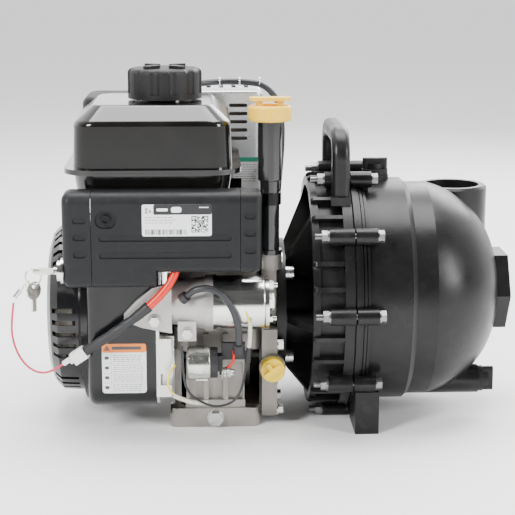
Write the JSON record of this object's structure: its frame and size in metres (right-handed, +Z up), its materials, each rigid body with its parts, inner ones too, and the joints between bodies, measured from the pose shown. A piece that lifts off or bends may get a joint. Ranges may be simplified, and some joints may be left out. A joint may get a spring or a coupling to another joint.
{
  "type": "engine-driven trash pump",
  "caption": "Petrol-engine trash water pump: horizontal-shaft engine with key start and recoil start driving a domed centrifugal pump with threaded suction and discharge ports.",
  "frame": {"origin": "centre of the engine base bolt pattern, on the underside of the base", "axes": "+X along the crankshaft towards the pump, +Z up, -Y towards the side with the control panel"},
  "size_m": [0.511, 0.3082, 0.367],
  "materials": {
    "cast_aluminium": "die-cast, sand-blasted grey, satin",
    "crankcase_paint": "die-cast, dull grey",
    "cast_iron": "raw casting",
    "steel": "machined steel",
    "zinc_steel": "bright zinc plate",
    "black_sheet": "black powder coat on sheet steel",
    "guard_sheet": "bright pressed sheet",
    "muffler_sheet": "heat-proof paint, dull",
    "tank_plastic": "moulded black, half gloss",
    "cap_plastic": "moulded black, ribbed",
    "panel_plastic": "moulded dark grey, fine grain",
    "panel_end_plastic": "moulded dark grey, fine grain",
    "recoil_paint": "moulded black, half gloss",
    "pump_plastic": "glass-filled moulding, satin",
    "pump_body_plastic": "glass-filled moulding, half gloss",
    "impeller_iron": "machined casting",
    "handle_paint": "black coat on formed bar",
    "foot_plastic": "moulded black",
    "plug_plastic": "moulded black",
    "grip_plastic": "moulded black grip on a braided rope",
    "rubber_black": "moulded rubber",
    "gasket_rubber": "cut sheet",
    "red_cable": "red jacket",
    "white_plastic": "moulded connector",
    "black_cable": "black jacket",
    "loom_sleeve": "split loom sleeve",
    "lanyard_cord": "thin red cord",
    "key_brass": "nickel plate",
    "ring_steel": "bright wire",
    "ferrule_metal": "crimped",
    "yellow_plastic": "moulded yellow",
    "solenoid_steel": "plated can",
    "coil_plastic": "potted coil and porcelain plug",
    "lever_steel": "pressed steel",
    "carb_alloy": "die-cast",
    "filter_foam": "moulded base and foam element",
    "cleaner_plastic": "moulded black cover",
    "switch_plastic": "moulded switch with a metal face"
  },
  "bodies": {
    "frame": {"crankcase": "crankcase_paint", "crankcase_cover": "cast_aluminium", "engine_bolts": "zinc_steel", "main_bearings": "steel", "shaft_seals": "rubber_black", "piston": "cast_aluminium", "cylinder_head": "cast_aluminium", "rocker_cover": "black_sheet", "valve_train": "steel", "ignition_parts": "coil_plastic", "terminal_boots": "rubber_black", "gaskets": "gasket_rubber", "blower_housing": "black_sheet", "steel_brackets": "black_sheet", "recoil_cover": "recoil_paint", "fuel_tank_upper": "tank_plastic", "fuel_tank_lower": "tank_plastic", "panel_main": "panel_plastic", "panel_end_left": "panel_end_plastic", "panel_end_right": "panel_end_plastic", "key_switch": "switch_plastic", "key_ring": "ring_steel", "lanyard_ferrule": "ferrule_metal", "starter_motor": "solenoid_steel", "starter_gear_case": "cast_aluminium", "solenoid": "solenoid_steel", "battery_cable": "red_cable", "battery_plug": "white_plastic", "key_lanyard": "lanyard_cord", "starter_lead": "black_cable", "wiring_harness": "loom_sleeve", "dipstick_tube": "rubber_black", "muffler": "muffler_sheet", "muffler_guard": "guard_sheet", "carburetor": "carb_alloy", "air_cleaner_base": "filter_foam", "air_cleaner_cover": "cleaner_plastic", "pump_adapter": "pump_plastic", "pump_body": "pump_body_plastic", "pump_foot": "foot_plastic", "carry_handle": "handle_paint", "flange_bolts": "zinc_steel", "volute": "pump_plastic"},
    "crank": {"crankshaft": "steel", "flywheel": "cast_iron", "cooling_fan": "cap_plastic", "impeller": "impeller_iron"},
    "camshaft": {"camshaft": "cast_iron"},
    "recoil_pulley": {"recoil_pulley": "cap_plastic"},
    "recoil_grip": {"recoil_grip": "grip_plastic"},
    "tank_cap": {"tank_cap": "cap_plastic"},
    "ignition_key": {"ignition_key": "key_brass"},
    "dipstick": {"dipstick": "yellow_plastic"},
    "oil_fill_cap": {"oil_fill_cap": "yellow_plastic"},
    "choke_lever": {"choke_lever": "lever_steel"},
    "throttle_lever": {"throttle_lever": "lever_steel"},
    "fuel_valve_lever": {"fuel_valve_lever": "plug_plastic"},
    "check_flapper": {"check_flapper": "rubber_black"},
    "priming_plug": {"priming_plug": "plug_plastic"},
    "drain_plug": {"drain_plug": "plug_plastic"}
  },
  "joints": [
    {"name": "crank_spin", "type": "hinge", "parent": "frame", "child": "crank", "pos_m": [0, -0.016, 0.112], "axis": [1, 0, 0], "continuous": true},
    {"name": "camshaft_spin", "type": "hinge", "parent": "frame", "child": "camshaft", "pos_m": [0, -0.03, 0.061], "axis": [1, 0, 0], "continuous": true},
    {"name": "grip_pull", "type": "slide", "parent": "frame", "child": "recoil_grip", "axis": [0, 1, 0], "range_m": [0, 0.08]},
    {"name": "pulley_spin", "type": "hinge", "parent": "frame", "child": "recoil_pulley", "pos_m": [0, -0.016, 0.112], "axis": [1, 0, 0], "range_deg": [-90, 90]},
    {"name": "tank_cap_turn", "type": "hinge", "parent": "frame", "child": "tank_cap", "pos_m": [-0.049, -0.036, 0.334], "axis": [0, 0, 1], "range_deg": [0, 90]},
    {"name": "key_turn", "type": "hinge", "parent": "frame", "child": "ignition_key", "pos_m": [-0.142, -0.128, 0.174], "axis": [1, 0, 0], "range_deg": [0, 30]},
    {"name": "dipstick_pull", "type": "slide", "parent": "frame", "child": "dipstick", "axis": [0, 0, 1], "range_m": [0, 0.13]},
    {"name": "oil_fill_cap_turn", "type": "hinge", "parent": "frame", "child": "oil_fill_cap", "pos_m": [0.058, -0.1004, 0.0654], "axis": [0, -1, 0], "range_deg": [0, 90]},
    {"name": "choke_turn", "type": "hinge", "parent": "frame", "child": "choke_lever", "pos_m": [-0.054, 0.091, 0.253], "axis": [0, 0, -1], "range_deg": [0, 40]},
    {"name": "throttle_turn", "type": "hinge", "parent": "frame", "child": "throttle_lever", "pos_m": [-0.036, 0.091, 0.253], "axis": [0, 0, 1], "range_deg": [-15, 25]},
    {"name": "fuel_valve_turn", "type": "hinge", "parent": "frame", "child": "fuel_valve_lever", "pos_m": [-0.055, 0.095, 0.191], "axis": [0, 0, 1], "range_deg": [0, 80]},
    {"name": "flapper_swing", "type": "hinge", "parent": "frame", "child": "check_flapper", "pos_m": [0.2714, -0.016, 0.165], "axis": [0, 1, 0], "range_deg": [0, 50]},
    {"name": "priming_plug_turn", "type": "hinge", "parent": "frame", "child": "priming_plug", "pos_m": [0.169, -0.016, 0.251], "axis": [0, 0, 1], "range_deg": [0, 90]},
    {"name": "drain_plug_turn", "type": "hinge", "parent": "frame", "child": "drain_plug", "pos_m": [0.278, -0.046, 0.0356], "axis": [1, 0, 0], "range_deg": [0, 90]}
  ],
  "couplings": [
    {"joint": "camshaft_spin", "follows": "crank_spin", "ratio": -0.5},
    {"joint": "pulley_spin", "follows": "grip_pull", "rad_per_m": -19}
  ]
}
